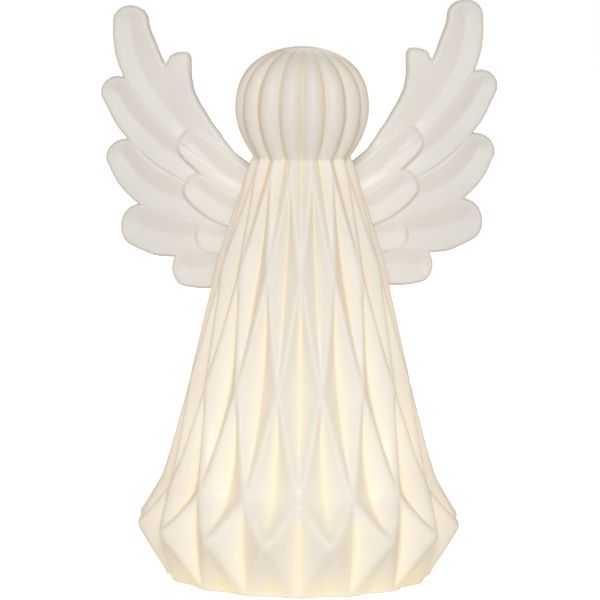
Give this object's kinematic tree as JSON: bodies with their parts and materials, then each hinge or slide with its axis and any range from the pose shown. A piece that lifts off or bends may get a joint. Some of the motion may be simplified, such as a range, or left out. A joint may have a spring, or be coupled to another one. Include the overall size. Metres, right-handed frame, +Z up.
{
  "type": "light-up angel",
  "caption": "Hollow folded porcelain angel with two feathered wings, lit from inside by a battery light unit held in its foot by a silicone ring",
  "frame": {"origin": "middle of the foot's flat ring on the table, below the figure's axis", "axes": "+Z up along the figure's axis, -Y towards the front, +X towards the wing on the right of the picture"},
  "size_m": [0.1737, 0.1424, 0.2508],
  "materials": {
    "porcelain_figure": "glossy translucent white glaze",
    "wing_left": "glossy white glaze",
    "wing_right": "glossy white glaze",
    "lower_housing": "moulded white plastic",
    "grip_ring": "soft pale silicone",
    "battery_door": "moulded white plastic",
    "door_screw": "plated steel",
    "switch_body": "folded plated can",
    "switch_knob": "black moulded plastic",
    "battery_1": "plain printed jacket, no words",
    "battery_2": "plain printed jacket, no words",
    "battery_3": "plain printed jacket, no words",
    "spring_1": "plated wire",
    "spring_2": "plated wire",
    "spring_3": "plated wire",
    "contact_positive": "plated strip",
    "contact_bridge_left": "plated strip",
    "contact_bridge_right": "plated strip",
    "contact_negative": "plated strip",
    "housing_cover": "moulded white plastic",
    "cover_screw_1": "plated steel",
    "cover_screw_2": "plated steel",
    "cover_screw_3": "plated steel",
    "cover_screw_4": "plated steel",
    "led_board": "green circuit board",
    "timer_chip": "black moulded chip, no words",
    "led_1": "clear warm resin",
    "led_2": "clear warm resin",
    "led_3": "clear warm resin",
    "led_4": "clear warm resin",
    "led_5": "clear warm resin",
    "led_6": "clear warm resin",
    "diffuser": "frosted plastic",
    "lead_positive": "red sleeve",
    "lead_negative": "black sleeve",
    "lead_switched": "black sleeve"
  },
  "bodies": {
    "light_unit": {"lower_housing": "lower_housing", "grip_ring": "grip_ring", "switch_body": "switch_body", "battery_1": "battery_1", "battery_2": "battery_2", "battery_3": "battery_3", "spring_1": "spring_1", "spring_2": "spring_2", "spring_3": "spring_3", "contact_positive": "contact_positive", "contact_bridge_left": "contact_bridge_left", "contact_bridge_right": "contact_bridge_right", "contact_negative": "contact_negative", "housing_cover": "housing_cover", "cover_screw_1": "cover_screw_1", "cover_screw_2": "cover_screw_2", "cover_screw_3": "cover_screw_3", "cover_screw_4": "cover_screw_4", "led_board": "led_board", "timer_chip": "timer_chip", "led_1": "led_1", "led_2": "led_2", "led_3": "led_3", "led_4": "led_4", "led_5": "led_5", "led_6": "led_6", "diffuser": "diffuser", "lead_positive": "lead_positive", "lead_negative": "lead_negative", "lead_switched": "lead_switched"},
    "angel_figure": {"porcelain_figure": "porcelain_figure", "wing_left": "wing_left", "wing_right": "wing_right"},
    "door": {"battery_door": "battery_door", "door_screw": "door_screw"},
    "switch_slide": {"switch_knob": "switch_knob"}
  },
  "joints": [
    {"name": "figure_lift", "type": "slide", "parent": "light_unit", "child": "angel_figure", "axis": [0, 0, 1], "range_m": [0, 0.06]},
    {"name": "battery_door_hinge", "type": "hinge", "parent": "light_unit", "child": "door", "pos_m": [0, -0.0242, 0.0015], "axis": [-1, 0, 0], "range_deg": [0, 85]},
    {"name": "switch_travel", "type": "slide", "parent": "light_unit", "child": "switch_slide", "axis": [0, 1, 0], "range_m": [-0.002, 0.002]}
  ]
}
